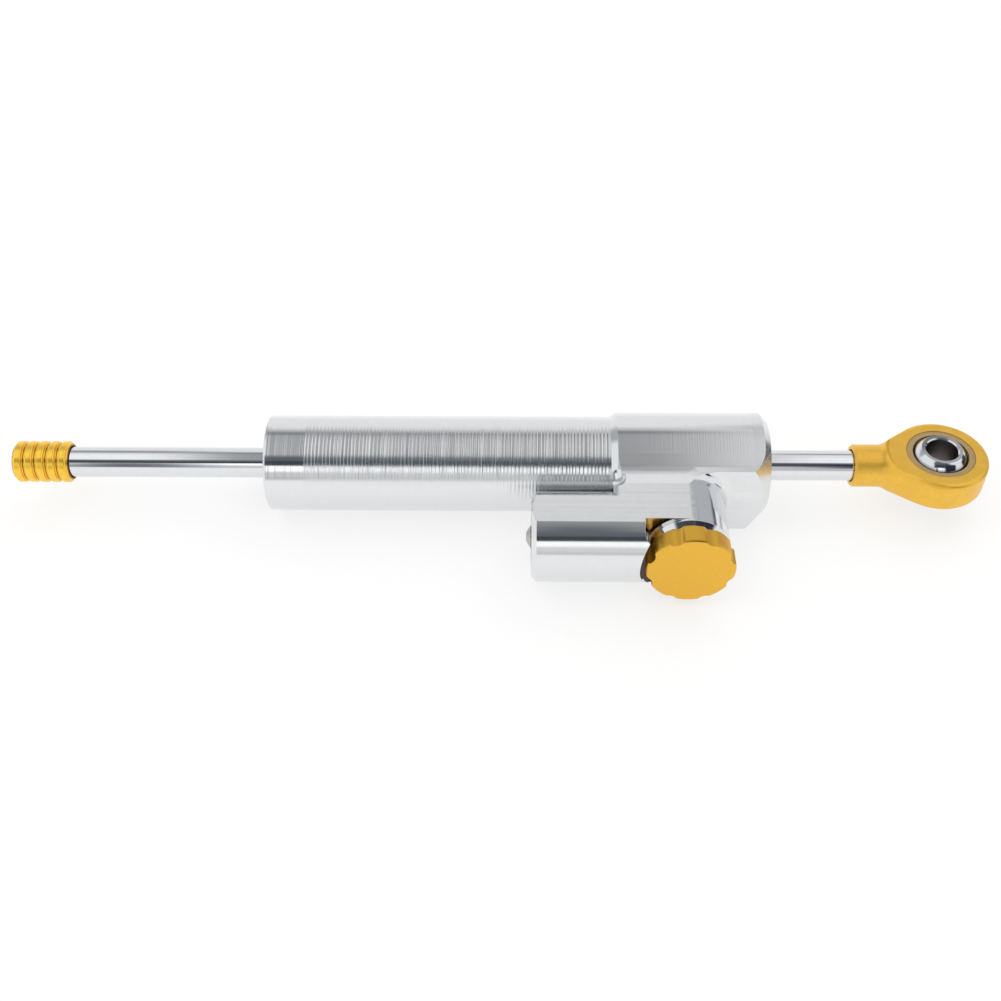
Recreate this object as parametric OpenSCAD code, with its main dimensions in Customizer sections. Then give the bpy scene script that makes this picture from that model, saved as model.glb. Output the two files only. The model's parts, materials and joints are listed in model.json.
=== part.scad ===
// Motorcycle steering damper: a through-rod hydraulic damper with a side chamber and a
// click adjuster. X runs along the piston rod towards the eye, -Y points to the adjuster
// knob and +Z is the bolt axis of the eye. The origin is on the rod axis, at the middle
// of the stretch of tube that a frame clamp holds. Lengths are in millimetres.

/* [Cylinder tube] */
// Diameter of the tube that the frame clamp holds
tube_d = 25; // [24.5:0.1:26]
// Free length of tube for the clamp, from the rounding of its open end to the side chamber
clamp_len = 68; // [60:1:74]
// Length of tube from its open end to the block
tube_len = 89.1; // [86:0.1:94]
// Length of the whole milled body, tube and block together
body_len = 129.8; // [127:0.1:140]
// Diameter of the main bore
main_bore_d = 21; // [20.6:0.1:21.6]
// Rounding of the tube's open end
tube_edge = 0.7; // [0.3:0.1:1]

/* [Block] */
// Diameter of the round back of the block
block_d = 27.3; // [27:0.1:29]
// Distance from the rod axis to the block's front face
block_front = 13.3; // [13:0.1:14.5]
// Half height of the block's square front, the web and the chamber's flats
flat_half = 10.3; // [9.8:0.1:10.7]
// Length along X of the block's left chamfer
block_chamfer_len = 1.6; // [1:0.1:2.4]
// How much further the block's square corners are turned back on the left
corner_step = 0.8; // [0.3:0.1:1.5]
// Chamfer turned on the block's right end
end_chamfer = 1.8; // [1:0.1:3]
// Radius of the wide fillet that leads the round back down into the cove
shelf_fillet = 16.5; // [14:0.5:18]

/* [Side chamber] */
// Distance between the rod axis and the side chamber's axis
chamber_y = 26.3; // [26:0.1:28]
// Outside diameter of the side chamber
chamber_d = 22.4; // [22:0.1:23]
// Bore of the side chamber
chamber_bore_d = 15; // [14:0.1:16]
// How far the side chamber's bore runs past the block's left end
chamber_past_block = 3.6; // [3:0.1:5]
// Chamfer on the side chamber's left end
chamber_chamfer = 1.2; // [0.6:0.1:1.8]
// Radius of the wide cove between the round back and the chamber's flat
cove_r = 26; // [20:1:40]
// Depth of the cove's back edge below the flat
cove_sink = 0.2; // [0.1:0.05:0.3]
// Distance from the block's front face to the cove's front edge
cove_front = 4.1; // [3:0.1:5]
// Radius of the ball-shaped lead-in at the cove's left end
lead_r = 4; // [3.4:0.1:5]
// Distance from the block's front face to the lead-in's middle
lead_offset = 2; // [1:0.1:2.6]
// Depth of the lead-in below the flat
lead_depth = 1.9; // [1:0.1:2.2]
// Chamfer on the web's left edges
web_chamfer = 1.2; // [0.6:0.1:1.8]

/* [Adjuster boss] */
// Distance from the block's left end to the knob's axis
knob_from_block = 18.5; // [17.9:0.1:19.2]
// Fillet between the boss and the block's front face
boss_fillet = 3; // [2:0.1:3.4]
// Distance from the rod axis to the floor of the knob's pocket
pocket_floor = 29.5; // [28.5:0.1:30]
// Diameter of the knob's pocket
pocket_d = 24.9; // [24.4:0.1:25.6]
// Radius of the relief at the pocket's upper left
relief_r = 3; // [2.7:0.1:3.2]
// Distance along X from the knob's axis to the relief's axis
relief_dx = 8.5; // [8.2:0.1:8.7]
// Height of the relief's axis
relief_z = 9.3; // [9.1:0.1:9.6]
// Height of the boss's ring above the pocket floor
ring_height = 2; // [1.6:0.1:2.2]
// Chamfer on the ring
ring_chamfer = 1.3; // [0.6:0.1:1.5]

/* [Piston rod] */
// Diameter of the piston rod
rod_d = 8; // [7.6:0.1:8.4]
// Free rod from the end collar to the tube at rest, the travel to the right
travel_right = 52.8; // [40:0.1:54]
// Free rod from the block to the rod end at rest, the travel to the left
travel_left = 23; // [12:0.1:25]
// Diameter of the threaded stubs at the rod's ends, at the thread's core
stub_d = 6.6; // [6:0.1:7]
// How far the full rod enters the collar and the rod end
rod_entry = 2.5; // [1.5:0.1:4]
// Length of the threaded stub in the end collar
collar_stub = 9; // [6:0.5:10]
// Length of the threaded stub in the rod end
eye_stub = 7; // [5:0.5:8]

/* [Piston] */
// Distance from the tube's open end to the piston's middle at rest
piston_from_end = 44.5; // [43:0.5:46]
// Length of the piston
piston_len = 10; // [9:0.5:11]
// Running gap between piston and sleeve
piston_gap = 0.2; // [0.15:0.01:0.3]
// Running gap between the band and the sleeve
band_gap = 0.05; // [0.03:0.01:0.08]
// Width of the piston band
band_w = 5; // [4:0.1:6]
// Wall of the piston band
band_wall = 0.55; // [0.4:0.01:0.7]
// Cord diameter of the ring under the band
piston_ring_cord = 1.2; // [1:0.05:1.4]
// Thickness of the piston's clips
piston_clip_t = 1; // [0.8:0.1:1.2]
// Outside diameter of the piston's clips
piston_clip_d = 12; // [10.5:0.1:13]
// Depth of the clips' grooves in the rod
piston_clip_bite = 0.4; // [0.3:0.05:0.6]
// How much narrower a clip's slot is than its groove
clip_snap = 1.2; // [0.8:0.1:1.6]

/* [Pressure sleeve] */
// Bore of the pressure sleeve
sleeve_bore_d = 17; // [16.6:0.1:17.2]
// Wall of the pressure sleeve
sleeve_wall = 1.1; // [0.9:0.05:1.2]
// Diameter of the sleeve's ports
port_d = 2.4; // [1.6:0.1:2.8]
// Depth of the sleeve's seat in the block
sleeve_seat = 2; // [1:0.1:3]

/* [Seals and bushes] */
// Outside diameter of the rod bushes
bush_d = 11; // [10.4:0.1:12]
// Length of the left rod bush
left_bush_len = 5; // [4:0.1:6]
// Length of the right rod bush
right_bush_len = 6.2; // [5:0.1:6.4]
// Outside diameter of the rod seals and wipers
seal_d = 14; // [13.4:0.1:14.6]
// Length of a rod seal
seal_len = 4; // [3.5:0.1:4.2]
// Length of a wiper's body
wiper_len = 2.5; // [2:0.1:2.7]
// Running gap between the rod and what guides or seals it
rod_gap = 0.03; // [0.02:0.01:0.06]
// Wall between the left rod seal and its bush
gland_web = 0.3; // [0.2:0.1:1]
// Distance from the left gland's inner end to its ring's groove
gland_groove_back = 3.5; // [2:0.1:4]
// Length of the gland's spigot in the sleeve
spigot_len = 1; // [0.5:0.1:1.5]
// Room for a ring beside its cord in a groove
groove_room = 0.5; // [0.3:0.1:0.7]
// Depth of the left clip's groove from the tube's end
clip_inset = 1; // [0.8:0.1:1.4]
// Thickness of the left clip
clip_t = 1.2; // [1:0.1:1.4]
// Depth of the left clip's groove in the tube's wall
clip_bite = 0.6; // [0.4:0.05:0.7]
// Radial width of the left clip
clip_w = 2.1; // [1.8:0.1:2.4]
// Radius of the left clip's ears
ear_r = 1.5; // [1.2:0.1:1.6]
// Radius of the holes in the left clip's ears
ear_hole_r = 0.7; // [0.5:0.1:0.9]
// Thickness of the right clip
right_clip_t = 0.8; // [0.6:0.1:1]
// Depth of the right clip's groove
right_clip_bite = 0.6; // [0.4:0.1:0.8]
// Radial width of the right clip
right_clip_w = 1.5; // [1.2:0.1:1.8]
// Distance of the right clip from the block's end
right_clip_inset = 0.5; // [0.4:0.1:1]
// Opening of the left and right clips
clip_slot = 3.2; // [2.4:0.1:3.4]
// Diameter of the holes for a pin spanner
spanner_d = 1.6; // [1.2:0.1:1.8]
// Depth of the holes for a pin spanner
spanner_depth = 1.8; // [1:0.1:2.2]
// Cord diameter of the gland's ring
gland_ring_cord = 1.3; // [1.1:0.05:1.5]

/* [End collar] */
// Largest diameter of the end collar
collar_d = 10.9; // [10.4:0.1:11.6]
// Diameter in the collar's grooves
collar_groove_d = 9.7; // [9.4:0.1:10.2]
// Number of rings on the collar
collar_rings = 5; // [4:1:6]
// Distance from ring to ring
collar_pitch = 2.94; // [2.7:0.01:3.2]
// Width of a groove on the collar
collar_groove_w = 0.9; // [0.6:0.1:1.2]
// Rounding of the collar's rings
collar_round = 0.5; // [0.3:0.05:0.6]
// Gap round the rod where it enters the collar and the rod end
entry_gap = 0.35; // [0.2:0.05:0.5]

/* [Rod end] */
// Distance from the rod end's shank to the eye's centre
eye_from_shank = 22.7; // [22.4:0.1:25]
// Diameter of the shank
shank_d = 11.1; // [10.8:0.1:11.6]
// Chamfer on the shank's end
shank_chamfer = 0.4; // [0.2:0.1:0.6]
// Diameter of the head
head_d = 24.8; // [24.5:0.1:26]
// Thickness of the head
head_t = 8.8; // [8.4:0.1:9.2]
// Rounding of the head's edges
head_edge = 1.4; // [0.6:0.1:1.6]
// Angle of the neck's cone, from the rod's axis
neck_angle = 31; // [27:1:35]
// Radius of the fillet between shank and cone
neck_r = 4; // [2:0.5:6]
// Radius of the milled flats round the eye
flat_r = 14.3; // [13.8:0.1:14.6]
// Outside diameter of the race
race_d = 17.6; // [17.4:0.1:18.2]
// How far the race stays back from the head's faces
race_inset = 0.1; // [0.05:0.05:0.3]
// Diameter of the ball
ball_d = 15.88; // [15.4:0.02:16.2]
// Width of the ball
ball_w = 12; // [11:0.1:12.4]
// Bore of the ball, for the mounting bolt
eye_bore_d = 8; // [6:0.1:8.2]
// Chamfer of the ball's bore
eye_chamfer = 0.4; // [0.2:0.1:0.6]
// Wall of the slip liner between race and ball
liner_wall = 0.3; // [0.25:0.01:0.34]
// Running gap on each side of the slip liner
liner_gap = 0.06; // [0.04:0.01:0.08]
// How far the liner stays back from the race's faces
liner_inset = 0.5; // [0.3:0.1:1]

/* [Knob] */
// Diameter over the knob's lobes
knob_d = 21.8; // [21:0.1:22.2]
// Thickness of the knob's disc
knob_t = 5.2; // [4.8:0.1:5.6]
// Gap between the boss's ring and the knob's disc
knob_gap = 0.8; // [0.7:0.05:1]
// Number of notches round the knob
knob_notches = 8; // [6:1:10]
// Radius of a notch
notch_r = 2.6; // [2:0.1:3]
// Depth of a notch
notch_depth = 0.9; // [0.4:0.1:1.1]
// Chamfer on the knob's front edge
knob_edge = 0.4; // [0.2:0.1:0.6]
// Chamfer on the knob's back edge
knob_back_edge = 0.3; // [0.2:0.1:0.5]
// Wall of the knob's hub round the spindle
hub_wall = 2; // [1.5:0.1:2.4]
// Thickness of the knob's front over the spindle's end
knob_skin = 1.5; // [1:0.1:2]
// Number of click dimples on the knob's back
clicks = 24; // [18:1:28]
// Radius of the circle of click dimples
click_r = 7.4; // [7.2:0.1:7.6]
// Diameter of a click dimple
dimple_d = 1.3; // [1:0.1:1.4]
// Depth of a click dimple
dimple_depth = 0.35; // [0.2:0.05:0.4]

/* [Valve] */
// Diameter of the valve gland
valve_gland_d = 10; // [9.6:0.1:10.4]
// Length of the valve gland
valve_gland_len = 7.2; // [7:0.1:7.6]
// Diameter of the needle's bore
needle_bore_d = 6; // [5.8:0.1:6.2]
// Diameter of the adjuster spindle
spindle_d = 4.4; // [4:0.1:4.6]
// Thickness of the spindle's shoulder
shoulder_t = 0.6; // [0.4:0.1:0.8]
// End play of the spindle's shoulder under the gland
shoulder_gap = 0.1; // [0.05:0.05:0.2]
// Diameter of the spindle's threaded nose
nose_d = 3.2; // [2.8:0.1:3.4]
// Running gap of spindle and needle
valve_gap = 0.08; // [0.05:0.01:0.1]
// Outside diameter of the valve seat
seat_d = 5; // [4.6:0.1:5.4]
// Orifice of the valve seat
orifice_d = 2.4; // [2:0.1:2.6]
// Distance from the rod axis to the mouth of the seat
seat_mouth = 16.5; // [16.2:0.1:16.8]
// Travel of the needle each way
needle_travel = 0.75; // [0.5:0.05:0.8]
// Length of the needle's cone
cone_len = 2.1; // [1.8:0.1:2.2]
// Radius of the cone's foot
cone_r = 1.9; // [1.6:0.1:2.2]
// Radius of the cone's tip
cone_tip_r = 0.3; // [0.2:0.1:0.5]
// How far the needle's tip reaches into the seat at rest
tip_reach = 0.25; // [0.1:0.05:0.4]
// Distance from the valve gland's back to the passage that feeds the needle
passage_back = 3; // [2:0.1:3.5]
// Cord diameter of the ring round the valve gland
valve_cord = 1; // [0.8:0.1:1.2]
// Cord diameter of the ring round the spindle
spindle_cord = 0.9; // [0.7:0.1:1]
// Distance from the valve gland's back to its outer groove
outer_groove = 1.2; // [1:0.1:1.5]
// Distance from the valve gland's back to its inner groove
inner_groove = 3.8; // [3:0.1:4.2]
// Diameter of the click ball
click_ball_d = 2.4; // [2:0.1:2.6]
// Gap between the click ball and what is round it
ball_gap = 0.1; // [0.08:0.01:0.2]
// Depth of the click ball's pocket
click_pocket_depth = 5; // [4.4:0.1:6]
// Mean radius of the click spring
click_spring_r = 0.8; // [0.7:0.05:0.9]
// Wire diameter of the click spring
click_wire = 0.4; // [0.3:0.05:0.5]
// Length of the grub screw
grub_len = 5; // [4:0.1:6]
// Diameter of the grub screw
grub_d = 3; // [2.6:0.1:3.2]
// Key size of the grub screw and the filling screw, across corners
key_d = 1.8; // [1.4:0.1:2]
// Depth of the key's hole in both screws
key_depth = 1.2; // [0.8:0.1:1.6]

/* [Reserve piston] */
// Distance from the reserve piston to the bore's end at rest
reserve_from_end = 3.2; // [2.9:0.1:4]
// Length of the reserve piston
reserve_len = 5; // [4.6:0.1:5.2]
// Running gap of the reserve piston
reserve_gap = 0.05; // [0.03:0.01:0.08]
// Depth of the recess in the reserve piston's face
recess_depth = 1; // [0.6:0.1:1.2]
// Wall round that recess
recess_wall = 3; // [2.6:0.1:4]
// Cord diameter of the reserve piston's ring and of the plug's ring
reserve_ring_cord = 1.6; // [1.4:0.05:1.8]
// Length of the chamber plug
plug_len = 6; // [5:0.1:6.5]
// How far the plug sits back from the chamber's end
plug_inset = 0.2; // [0.1:0.1:0.5]
// Distance from the plug's inner end to its groove
plug_groove_back = 1; // [0.8:0.1:1.6]
// Distance from the plug's middle to its spanner holes
spanner_r = 5; // [4.4:0.1:5.4]
// Head diameter of the filling screw
fill_head_d = 5.2; // [4.8:0.1:5.6]
// Head height of the filling screw
fill_head_h = 1.2; // [1:0.1:1.6]
// Thread diameter of the filling screw, at the thread's core
fill_d = 2.6; // [2.4:0.1:3]
// Length of the filling screw under its head
fill_len = 5; // [4:0.1:5.5]
// Thickness of the filling screw's washer
washer_t = 0.4; // [0.3:0.1:0.6]
// How far the washer shows round the filling screw's head
washer_rim = 0.3; // [0.1:0.1:0.5]
// Mean diameter of the reserve spring
spring_d = 9.4; // [8.6:0.1:10.2]
// Wire diameter of the reserve spring
spring_wire = 1; // [0.8:0.1:1.2]

/* [Hidden] */
$fn = 96;
tiny = 0.01;
over = 1;
sections = 32;
fine = 480;
gold = [0.86, 0.64, 0.22];
bright = [0.82, 0.83, 0.85];
steel = [0.62, 0.63, 0.66];
bronze = [0.72, 0.52, 0.28];
rubber = [0.10, 0.10, 0.11];

tube_r = tube_d / 2;
bore_r = main_bore_d / 2;
block_r = block_d / 2;
chamber_r = chamber_d / 2;
chamber_bore_r = chamber_bore_d / 2;
rod_r = rod_d / 2;
tube_x = -clamp_len / 2 - tube_edge;
block_x = tube_x + tube_len;
end_x = tube_x + body_len;
chamber_x = clamp_len / 2;
knob_x = block_x + knob_from_block;
boss_r = flat_half;
ring_front = pocket_floor + ring_height;
foot_z = flat_half - cove_sink;
foot_y = -sqrt(pow(block_r + shelf_fillet, 2) - pow(foot_z + shelf_fillet, 2));

sleeve_r = sleeve_bore_d / 2;
sleeve_out_r = sleeve_r + sleeve_wall;
wall_len = right_bush_len + seal_len + wiper_len + right_clip_t + right_clip_inset;
wall_x = end_x - wall_len;
clip_x = tube_x + clip_inset;
gland_x = clip_x + clip_t;
gland_seal_x = gland_x + wiper_len;
left_bush_x = gland_seal_x + seal_len + gland_web;
gland_end = left_bush_x + left_bush_len - spigot_len;
port_from_gland = 0.3;
port_x = gland_end + spigot_len + port_from_gland + port_d / 2;

piston_x = tube_x + piston_from_end;
piston_r = sleeve_r - piston_gap;
band_out_r = sleeve_r - band_gap;
band_in_r = band_out_r - band_wall;
band_room = 0.1;
piston_ring_r = band_in_r - band_room - piston_ring_cord / 2;
piston_groove_r = piston_ring_r - piston_ring_cord / 2;
clip_groove_r = rod_r - piston_clip_bite;

collar_len = collar_rings * collar_pitch;
collar_x = tube_x - travel_right - collar_len;
collar_face = collar_x + collar_len;
shank_x = end_x + travel_left;
eye_x = shank_x + eye_from_shank;
entry_r = rod_r + entry_gap;

shank_r = shank_d / 2;
head_r = head_d / 2;
head_half = head_t / 2;
cone_x = eye_x - (head_r / cos(neck_angle) - shank_r) / tan(neck_angle);
neck_x = cone_x - neck_r * tan(neck_angle / 2);
ball_r = ball_d / 2;
liner_in_r = ball_r + liner_gap;
liner_out_r = liner_in_r + liner_wall;
race_in_r = liner_out_r + liner_gap;

knob_r = knob_d / 2;
knob_back = ring_front + knob_gap;
knob_front = knob_back + knob_t;
gland_inset = 0.3;
gland_front = ring_front - gland_inset;
gland_back = gland_front - valve_gland_len;
hub_gap = 0.2;
hub_back = gland_front + hub_gap;
spindle_r = spindle_d / 2;
nose_r = nose_d / 2;
needle_bore_r = needle_bore_d / 2;
shoulder_front = gland_back - shoulder_gap;
shoulder_back = shoulder_front - shoulder_t;
needle_end_gap = 0.15;
needle_back = shoulder_back - needle_travel - needle_end_gap;
needle_tip = seat_mouth - tip_reach;
needle_floor = 0.25;
needle_hole = needle_tip + cone_len + needle_floor;
nose_tip = needle_hole + needle_travel + needle_end_gap;
spindle_end = knob_front - knob_skin;
click_ball_y = knob_back - ball_gap - click_ball_d / 2;
click_floor = ring_front - click_pocket_depth;
grub_y = knob_back + knob_t / 2;

chamber_end = block_x + chamber_past_block;
reserve_x = chamber_end - reserve_from_end - reserve_len;
plug_x = chamber_x + plug_inset;
plug_end = plug_x + plug_len;
fill_x = plug_x - washer_t;
web_port_wall = 0.45;
web_port_x = chamber_end - web_port_wall - port_d / 2;

// Turns a profile about the X axis; its points are [radius, x].
module turn_x() {
    rotate([0, 90, 0]) rotate_extrude() children();
}

// Turns a profile about the knob's axis; its points are [radius, distance to the front].
module turn_knob() {
    translate([knob_x, 0, 0]) rotate([90, 0, 0]) rotate_extrude() children();
}

// A round bar about the X axis from x = a to x = b.
module bar_x(r, a, b) {
    translate([a, 0, 0]) rotate([0, 90, 0]) cylinder(r = r, h = b - a);
}

// A round bar about the knob's axis, between two distances from the rod axis.
module bar_knob(r, a, b) {
    translate([knob_x, -a, 0]) rotate([90, 0, 0]) cylinder(r = r, h = b - a);
}

// A washer about the X axis.
module ring_x(r_in, r_out, a, b) {
    turn_x() translate([r_in, a]) square([r_out - r_in, b - a]);
}

// A round cord bent into a ring about the X axis.
module cord_x(r_mid, cord, x) {
    turn_x() translate([r_mid, x]) circle(d = cord, $fn = sections);
}

// Points of a quarter arc, from one angle to another.
function arc(cx, cy, r, a, b, steps = 6) =
    [for (i = [0:steps]) [cx + r * cos(a + (b - a) * i / steps),
                          cy + r * sin(a + (b - a) * i / steps)]];

// Moves its children to the side chamber's axis.
module at_chamber() {
    translate([0, -chamber_y, 0]) children();
}

// Both halves, above and below the rod axis.
module above_and_below() {
    children();
    mirror([0, 0, 1]) children();
}

// The fillet that leads the round back down, along X from a to b. It ends at y = front.
module shelf_fillet_bar(a, b, front) {
    mid_z = foot_z + shelf_fillet;
    touch = block_r / (block_r + shelf_fillet);
    slope = (mid_z * touch - foot_z) / (foot_y * touch - foot_y);
    difference() {
        translate([a, 0, 0]) rotate([90, 0, 90]) linear_extrude(b - a)
            polygon([[foot_y * touch, mid_z * touch], [front, foot_z + (front - foot_y) * slope],
                     [front, foot_z - over], [foot_y * touch, foot_z - over]]);
        translate([a - over, foot_y, mid_z]) rotate([0, 90, 0])
            cylinder(r = shelf_fillet, h = b - a + 2 * over);
    }
}

// Cuts its children to the turned envelope of the block.
module in_block() {
    face_r = block_r - end_chamfer;
    out_r = norm([foot_y, flat_half]) + tiny;
    intersection() {
        children();
        turn_x() polygon([[0, block_x], [tube_r, block_x],
            [block_r, block_x + block_chamfer_len],
            [out_r, block_x + block_chamfer_len + corner_step],
            [out_r, end_x + face_r - out_r], [face_r, end_x], [0, end_x]]);
    }
}

// The round back of the block, with the fillets at its feet.
module block_back() {
    in_block() union() {
        bar_x(block_r, block_x, end_x);
        above_and_below() shelf_fillet_bar(block_x, knob_x, foot_y);
        above_and_below() shelf_fillet_bar(knob_x, end_x, -block_front);
    }
}

// The square front of the block.
module block_square() {
    in_block() translate([block_x, -block_front, -flat_half])
        cube([end_x - block_x, block_front, 2 * flat_half]);
}

// The side chamber's bar, with flats above and below and a chamfered left end.
module chamber_solid() {
    intersection() {
        at_chamber() turn_x() polygon([[0, chamber_x],
            [chamber_r - chamber_chamfer, chamber_x],
            [chamber_r, chamber_x + chamber_chamfer], [chamber_r, knob_x], [0, knob_x]]);
        translate([chamber_x - over, -chamber_y - chamber_d, -flat_half])
            cube([knob_x - chamber_x + 2 * over, 2 * chamber_d, 2 * flat_half]);
    }
}

// The web between block and side chamber, chamfered on its left edges.
module web_solid() {
    low = flat_half - web_chamfer;
    translate([0, over - block_front, 0]) rotate([90, 0, 0])
        linear_extrude(chamber_y - block_front + over)
            polygon([[block_x, -low], [block_x + web_chamfer, -flat_half],
                [knob_x, -flat_half], [knob_x, flat_half],
                [block_x + web_chamfer, flat_half], [block_x, low]]);
}

// The boss under the knob, with the fillet round its foot.
module boss_solid() {
    foot = boss_r + boss_fillet;
    bar_knob(boss_r, block_front - over, pocket_floor);
    intersection() {
        turn_knob() difference() {
            translate([0, block_front - over]) square([foot, boss_fillet + over]);
            translate([foot, block_front + boss_fillet]) circle(r = boss_fillet);
        }
        translate([knob_x, -block_front - boss_fillet - over, -flat_half])
            cube([foot + over, boss_fillet + 2 * over, 2 * flat_half]);
    }
}

// The ring that stands in the knob's pocket.
module boss_ring() {
    turn_knob() polygon([[0, pocket_floor - over], [boss_r, pocket_floor - over],
        [boss_r, ring_front - ring_chamfer], [boss_r - ring_chamfer, ring_front],
        [0, ring_front]]);
}

// The wide cove that runs along the foot of the round back, with a ball-shaped end. It
// passes through the foot of the back's fillet and the front edge on the flat.
module cove_cut() {
    run = foot_y + block_front + cove_front;
    chord = norm([run, cove_sink]);
    rise = sqrt(pow(cove_r, 2) - pow(chord / 2, 2));
    y = foot_y - run / 2 + rise * cove_sink / chord;
    z = foot_z + cove_sink / 2 + rise * run / chord;
    translate([block_x - over, y, z]) rotate([0, 90, 0])
        cylinder(r = cove_r, h = knob_x - block_x + over, $fn = fine);
    translate([knob_x, y, z]) sphere(r = cove_r, $fn = fine);
    translate([block_x, -block_front - lead_offset, flat_half + lead_r - lead_depth])
        sphere(r = lead_r);
}

// The pocket for the knob, with a small relief at its upper left.
module pocket_cut() {
    bar_knob(pocket_d / 2, pocket_floor, knob_front + chamber_r);
    translate([-relief_dx, 0, relief_z]) bar_knob(relief_r, pocket_floor, knob_front + chamber_r);
}

// Everything bored or drilled in the milled body.
module body_bores() {
    right_clip_end = end_x - right_clip_inset;
    bar_x(bore_r, tube_x - over, wall_x - sleeve_seat);
    bar_x(sleeve_out_r, wall_x - sleeve_seat - tiny, wall_x);
    bar_x(bush_d / 2, wall_x - tiny, wall_x + right_bush_len);
    bar_x(seal_d / 2, wall_x + right_bush_len - tiny, end_x + over);
    bar_x(bore_r + clip_bite, clip_x, gland_x);
    bar_x(seal_d / 2 + right_clip_bite, right_clip_end - right_clip_t, right_clip_end);
    at_chamber() bar_x(chamber_bore_r, chamber_x - over, chamber_end);
    translate([0, passage_back - gland_back, 0]) bar_x(port_d / 2, chamber_end - over, knob_x);
    translate([web_port_x, -chamber_y, 0]) rotate([-90, 0, 0])
        cylinder(d = port_d, h = chamber_y - bore_r + over);
    bar_knob(valve_gland_d / 2, gland_back, ring_front + over);
    bar_knob(needle_bore_r, seat_mouth, gland_back + over);
    bar_knob(seat_d / 2, bore_r - over, seat_mouth + over);
    translate([0, 0, click_r])
        bar_knob(click_ball_d / 2 + ball_gap, click_floor, ring_front + over);
}

module cylinder_body() {
    color(bright) difference() {
        union() {
            difference() {
                union() {
                    block_square();
                    chamber_solid();
                    web_solid();
                    boss_solid();
                }
                pocket_cut();
                above_and_below() cove_cut();
            }
            turn_x() polygon(concat([[0, tube_x]],
                arc(tube_r - tube_edge, tube_x + tube_edge, tube_edge, -90, 0),
                [[tube_r, block_x + over], [0, block_x + over]]));
            block_back();
            boss_ring();
        }
        body_bores();
    }
}

module pressure_sleeve() {
    color(steel) difference() {
        ring_x(sleeve_r, sleeve_out_r, gland_end, wall_x);
        for (turn = [0, 90]) translate([port_x, 0, 0]) rotate([turn, 0, 0])
            cylinder(d = port_d, h = main_bore_d, center = true);
        bar_knob(orifice_d / 2, 0, bore_r);
    }
}

module left_gland() {
    groove_w = gland_ring_cord + groove_room;
    groove_x = gland_end - gland_groove_back - groove_w;
    hole_gap = 0.3;
    color(bright) difference() {
        union() {
            bar_x(bore_r, gland_x, gland_end);
            bar_x(sleeve_r, gland_end - over, gland_end + spigot_len);
        }
        ring_x(bore_r - gland_ring_cord, bore_r + over, groove_x, groove_x + groove_w);
        bar_x(seal_d / 2, gland_x - over, gland_seal_x + seal_len);
        bar_x(rod_r + hole_gap, gland_seal_x, gland_end);
        bar_x(bush_d / 2, left_bush_x, gland_end + spigot_len + over);
        for (side = [-1, 1]) translate([gland_x - over, side * (bore_r + seal_d / 2) / 2, 0])
            rotate([0, 90, 0]) cylinder(d = spanner_d, h = spanner_depth + over);
    }
}

module left_gland_ring() {
    color(rubber) cord_x(bore_r - gland_ring_cord / 2, gland_ring_cord,
        gland_end - gland_groove_back - (gland_ring_cord + groove_room) / 2);
}

module left_retaining_clip() {
    out_r = bore_r + clip_bite;
    ear_mid = out_r - clip_w - ear_r / 4;
    ear_turn = 16;
    color(steel) difference() {
        union() {
            ring_x(out_r - clip_w, out_r, clip_x, gland_x);
            for (side = [-1, 1]) rotate([side * ear_turn, 0, 0])
                translate([0, 0, -ear_mid]) bar_x(ear_r, clip_x, gland_x);
        }
        for (side = [-1, 1]) rotate([side * ear_turn, 0, 0])
            translate([0, 0, -ear_mid]) bar_x(ear_hole_r, clip_x - over, gland_x + over);
        translate([clip_x - over, -clip_slot / 2, -main_bore_d])
            cube([clip_t + 2 * over, clip_slot, main_bore_d]);
    }
}

// A bush that guides the rod.
module rod_bush(a, b) {
    color(bronze) ring_x(rod_r + rod_gap, bush_d / 2, a, b);
}

module left_rod_bush() {
    rod_bush(left_bush_x, left_bush_x + left_bush_len);
}

module right_rod_bush() {
    rod_bush(wall_x, wall_x + right_bush_len);
}

// Turns a profile round end for end where way is -1.
function facing(points, way) = [for (p = points) [p[0], way * p[1]]];

// A cup seal with its open side towards the oil, which lies at +X where way is 1.
module rod_seal(x, way) {
    cup = 1.6;
    lip = 0.7;
    in_r = rod_r + rod_gap;
    out_r = seal_d / 2;
    color(rubber) translate([x, 0, 0]) turn_x() polygon(facing([[in_r, 0], [out_r, 0],
        [out_r, seal_len], [out_r - lip, seal_len], [(in_r + out_r) / 2, seal_len - cup],
        [in_r + lip, seal_len], [in_r, seal_len]], way));
}

// A wiper whose lip stands out of the housing; way is -1 on the left.
module wiper(x, way) {
    lip = 0.5;
    lip_foot = 1.2;
    in_r = rod_r + rod_gap;
    color(rubber) translate([x, 0, 0]) turn_x() polygon(facing([[in_r, 0], [seal_d / 2, 0],
        [seal_d / 2, wiper_len], [in_r + lip_foot, wiper_len], [in_r + lip, wiper_len + lip],
        [in_r, wiper_len + lip]], way));
}

module left_rod_seal() {
    rod_seal(gland_seal_x, 1);
}

module left_wiper() {
    wiper(gland_seal_x, -1);
}

module right_rod_seal() {
    rod_seal(wall_x + right_bush_len + seal_len, -1);
}

module right_wiper() {
    wiper(wall_x + right_bush_len + seal_len, 1);
}

module right_retaining_clip() {
    out_r = seal_d / 2 + right_clip_bite;
    b = end_x - right_clip_inset;
    a = b - right_clip_t;
    color(steel) difference() {
        ring_x(out_r - right_clip_w, out_r, a, b);
        translate([a - over, -clip_slot / 2, -seal_d])
            cube([right_clip_t + 2 * over, clip_slot, seal_d]);
    }
}

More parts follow.
